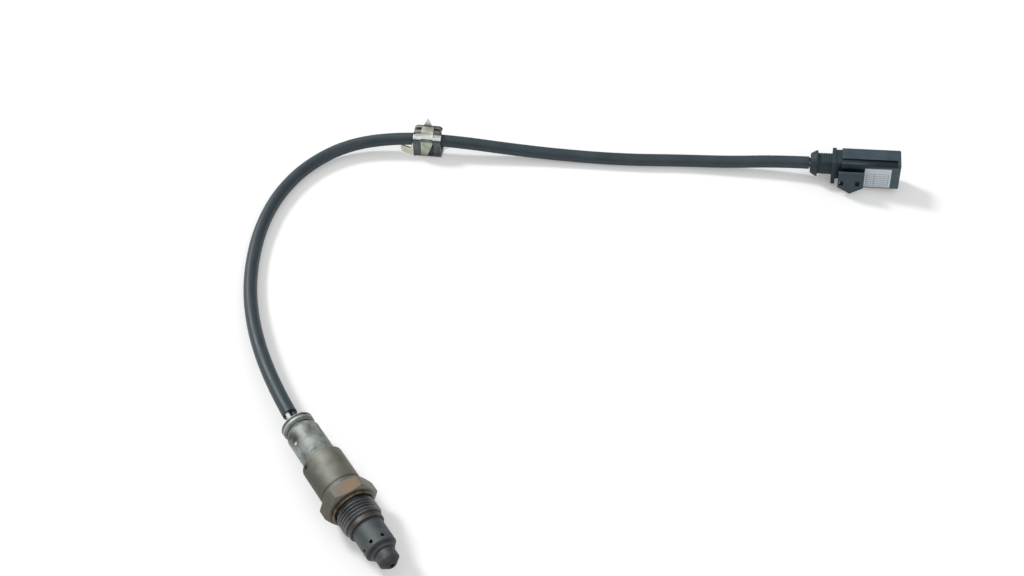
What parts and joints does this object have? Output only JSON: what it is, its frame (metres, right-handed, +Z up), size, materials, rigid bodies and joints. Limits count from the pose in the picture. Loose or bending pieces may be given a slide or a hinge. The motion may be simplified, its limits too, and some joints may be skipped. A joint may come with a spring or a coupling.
{
  "type": "oxygen sensor",
  "caption": "Heated exhaust oxygen sensor with hexagon, threaded stem, perforated tip tube, crimped sleeves, a short hose cable, a spring clip and a plug.",
  "frame": {"origin": "on the sensor's axis, in the middle of its thread", "axes": "+X along the sensor towards its tip, +Z up from the surface that the sensor lies on"},
  "size_m": [0.2485, 0.3637, 0.022],
  "materials": {
    "shell_steel": "brushed, heat tinted orange brown on the flats",
    "seal_metal": "golden, dull",
    "tube_steel": "matt, blue grey from heat",
    "nose_steel": "matt, dark grey",
    "element_ceramic": "matt, unglazed",
    "block_ceramic": "matt, unglazed",
    "talc": "pressed powder",
    "inner_steel": "plain",
    "lower_sleeve_steel": "satin, warm grey with a faint heat haze",
    "upper_sleeve_steel": "satin, light grey",
    "contact_metal": "bright",
    "grommet_rubber": "matt",
    "lead_white": "smooth insulation",
    "lead_black": "smooth insulation",
    "lead_grey": "smooth insulation",
    "hose_skin": "dark blue grey, smooth with a soft sheen",
    "clip_steel": "bright spring steel",
    "cap_plastic": "dark blue grey, fine grain",
    "plug_plastic": "dark blue grey, fine grain",
    "block_plastic": "plain",
    "pin_metal": "bright tin plate",
    "label_paper": "blank, bluish white, satin"
  },
  "bodies": {
    "root": {"hex_housing": "shell_steel", "seal_ring": "seal_metal", "outer_tube": "tube_steel", "inner_tube": "nose_steel", "sensing_element": "element_ceramic", "front_insulator": "block_ceramic", "powder_seal": "talc", "rear_insulator": "block_ceramic", "clamping_ring": "inner_steel", "lower_sleeve": "lower_sleeve_steel", "upper_sleeve": "upper_sleeve_steel", "contact_holder_upper": "block_ceramic", "contact_holder_lower": "block_ceramic", "holder_band": "inner_steel", "contact_springs": "contact_metal", "crimp_sleeves": "contact_metal", "wire_grommet": "grommet_rubber", "lead_white_upper": "lead_white", "lead_white_lower": "lead_white", "lead_black": "lead_black", "lead_grey": "lead_grey", "cable_hose": "hose_skin", "cable_clip": "clip_steel", "plug_boot": "cap_plastic", "plug_rear_cap": "cap_plastic", "wire_seal": "grommet_rubber", "plug_housing": "plug_plastic", "terminal_block": "block_plastic", "plug_pins": "pin_metal", "plug_label": "label_paper"}
  },
  "joints": []
}
